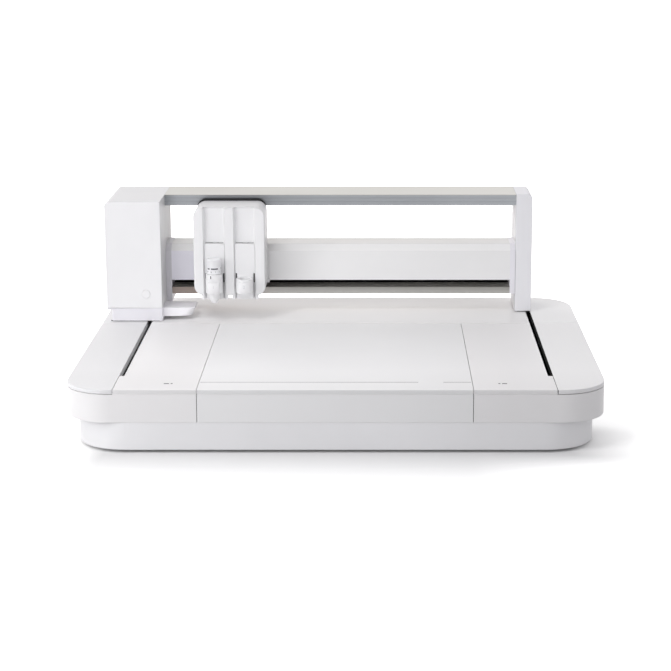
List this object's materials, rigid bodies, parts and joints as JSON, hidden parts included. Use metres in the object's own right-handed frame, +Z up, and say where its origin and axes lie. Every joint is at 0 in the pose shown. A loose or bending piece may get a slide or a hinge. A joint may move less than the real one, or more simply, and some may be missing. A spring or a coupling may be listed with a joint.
{
  "type": "flatbed craft die cutting machine",
  "caption": "White flatbed craft cutter: low base with a cutting bed, a bridge gantry that slides along it, and a two-tool carriage that cuts paper and card.",
  "frame": {"origin": "centre of the base's footprint on the table it stands on", "axes": "+Z up, -Y towards the user, +X to the user's right along the gantry"},
  "size_m": [0.602, 0.4816, 0.2257],
  "materials": {
    "white_plastic": "satin moulded white",
    "black_plastic": "matt black",
    "aluminium": "satin anodised",
    "steel": "ground",
    "black_metal": "black coated",
    "rubber": "matt",
    "circuit_board": "solder mask"
  },
  "bodies": {
    "base": {"bottom_tray": "white_plastic", "upper_casing": "white_plastic", "bed_panel": "white_plastic", "left_side_deck": "white_plastic", "right_side_deck": "white_plastic", "slot_seals": "black_plastic", "chassis_plate": "black_metal", "tray_screws": "steel", "feet": "rubber", "y_rails": "steel", "rail_blocks": "black_plastic", "y_belts": "rubber", "shaft_supports": "black_plastic", "y_motor": "black_metal", "main_board": "circuit_board", "dc_jack": "black_plastic", "usb_port": "steel"},
    "y_drive": {"y_drive_shaft": "steel", "y_drive_pulleys": "aluminium"},
    "y_idler_left": {"y_idler_left": "black_plastic"},
    "y_idler_right": {"y_idler_right": "black_plastic"},
    "gantry": {"y_sliders": "black_plastic", "gantry_frames": "black_metal", "tower_cover": "white_plastic", "tower_skirt": "white_plastic", "post_cover": "white_plastic", "gantry_back_covers": "white_plastic", "gantry_screws": "steel", "setting_pad": "white_plastic", "button_board": "circuit_board", "top_beam": "aluminium", "lower_beam_cover": "white_plastic", "beam_back_plate": "black_metal", "lower_rail": "aluminium", "beam_end_caps": "white_plastic", "x_motor": "black_metal", "x_idler_axle": "black_plastic", "x_belt": "rubber"},
    "power_button": {"power_button": "white_plastic"},
    "x_motor_pulley": {"x_motor_pulley": "aluminium"},
    "x_idler_pulley": {"x_idler_pulley": "black_plastic"},
    "carriage": {"carriage_cover": "white_plastic", "carriage_plate": "black_plastic", "roller_axles": "steel", "belt_clamp": "black_plastic", "lift_motors": "black_metal", "lift_guides": "steel"},
    "upper_roller": {"upper_roller": "black_plastic"},
    "lower_roller_left": {"lower_roller_left": "black_plastic"},
    "lower_roller_right": {"lower_roller_right": "black_plastic"},
    "lift_screw_1": {"lift_screw_1": "steel"},
    "lift_screw_2": {"lift_screw_2": "steel"},
    "tool_1": {"tool_holder_1": "white_plastic"},
    "tool_2": {"tool_holder_2": "white_plastic"},
    "lock_1": {"tool_lock_1": "white_plastic"},
    "lock_2": {"tool_lock_2": "white_plastic"},
    "blade_holder": {"blade_holder": "white_plastic", "cutting_blade": "steel"},
    "depth_dial": {"depth_dial": "white_plastic"}
  },
  "joints": [
    {"name": "gantry_slide", "type": "slide", "parent": "base", "child": "gantry", "axis": [0, 1, 0], "range_m": [-0.305, 0]},
    {"name": "carriage_slide", "type": "slide", "parent": "gantry", "child": "carriage", "axis": [1, 0, 0], "range_m": [-0.035, 0.317]},
    {"name": "power_button_press", "type": "slide", "parent": "gantry", "child": "power_button", "axis": [0, 1, 0], "range_m": [0, 0.0008], "stiffness_N_per_m": 1500, "springref_m": -0.0004},
    {"name": "y_shaft_spin", "type": "hinge", "parent": "base", "child": "y_drive", "pos_m": [0, 0.2102, 0.052], "axis": [1, 0, 0], "range_deg": [-8, 1950]},
    {"name": "y_idler_left_spin", "type": "hinge", "parent": "base", "child": "y_idler_left", "pos_m": [-0.2218, -0.1908, 0.052], "axis": [1, 0, 0], "range_deg": [-8, 1950]},
    {"name": "y_idler_right_spin", "type": "hinge", "parent": "base", "child": "y_idler_right", "pos_m": [0.2218, -0.1908, 0.052], "axis": [1, 0, 0], "range_deg": [-8, 1950]},
    {"name": "x_motor_spin", "type": "hinge", "parent": "gantry", "child": "x_motor_pulley", "pos_m": [-0.2648, 0.1748, 0.123], "axis": [0, 0, 1], "range_deg": [-262, 2307]},
    {"name": "x_idler_spin", "type": "hinge", "parent": "gantry", "child": "x_idler_pulley", "pos_m": [0.2061, 0.1748, 0.123], "axis": [0, 0, 1], "range_deg": [-262, 2307]},
    {"name": "upper_roller_spin", "type": "hinge", "parent": "carriage", "child": "upper_roller", "pos_m": [-0.1395, 0.1568, 0.2054], "axis": [0, 1, 0], "range_deg": [-3035, 342]},
    {"name": "lower_roller_left_spin", "type": "hinge", "parent": "carriage", "child": "lower_roller_left", "pos_m": [-0.1675, 0.1568, 0.1096], "axis": [0, 1, 0], "range_deg": [-509, 4549]},
    {"name": "lower_roller_right_spin", "type": "hinge", "parent": "carriage", "child": "lower_roller_right", "pos_m": [-0.1115, 0.1568, 0.1096], "axis": [0, 1, 0], "range_deg": [-509, 4549]},
    {"name": "tool_1_lift", "type": "slide", "parent": "carriage", "child": "tool_1", "axis": [0, 0, 1], "range_m": [-0.025, 0]},
    {"name": "tool_1_lock_pull", "type": "slide", "parent": "tool_1", "child": "lock_1", "axis": [0, -1, 0], "range_m": [0, 0.006]},
    {"name": "tool_2_lift", "type": "slide", "parent": "carriage", "child": "tool_2", "axis": [0, 0, 1], "range_m": [-0.025, 0]},
    {"name": "tool_2_lock_pull", "type": "slide", "parent": "tool_2", "child": "lock_2", "axis": [0, -1, 0], "range_m": [0, 0.006]},
    {"name": "lift_screw_1_spin", "type": "hinge", "parent": "carriage", "child": "lift_screw_1", "pos_m": [-0.15865, 0.114, 0.144], "axis": [0, 0, 1], "range_deg": [-8, 1133]},
    {"name": "lift_screw_2_spin", "type": "hinge", "parent": "carriage", "child": "lift_screw_2", "pos_m": [-0.12035, 0.114, 0.144], "axis": [0, 0, 1], "range_deg": [-8, 1133]},
    {"name": "blade_holder_out", "type": "slide", "parent": "tool_1", "child": "blade_holder", "axis": [0, 0, 1], "range_m": [0, 0.08]},
    {"name": "depth_dial_turn", "type": "hinge", "parent": "blade_holder", "child": "depth_dial", "pos_m": [-0.15865, 0.0865, 0.1361], "axis": [0, 0, 1], "range_deg": [0, 300]}
  ],
  "couplings": [
    {"joint": "y_shaft_spin", "follows": "gantry_slide", "rad_per_m": -111.11},
    {"joint": "y_idler_left_spin", "follows": "gantry_slide", "rad_per_m": -111.11},
    {"joint": "y_idler_right_spin", "follows": "gantry_slide", "rad_per_m": -111.11},
    {"joint": "x_motor_spin", "follows": "carriage_slide", "rad_per_m": 126.58},
    {"joint": "x_idler_spin", "follows": "carriage_slide", "rad_per_m": 126.58},
    {"joint": "upper_roller_spin", "follows": "carriage_slide", "rad_per_m": -166.67},
    {"joint": "lower_roller_left_spin", "follows": "carriage_slide", "rad_per_m": 250},
    {"joint": "lower_roller_right_spin", "follows": "carriage_slide", "rad_per_m": 250},
    {"joint": "lift_screw_1_spin", "follows": "tool_1_lift", "rad_per_m": -785.4},
    {"joint": "lift_screw_2_spin", "follows": "tool_2_lift", "rad_per_m": -785.4}
  ]
}
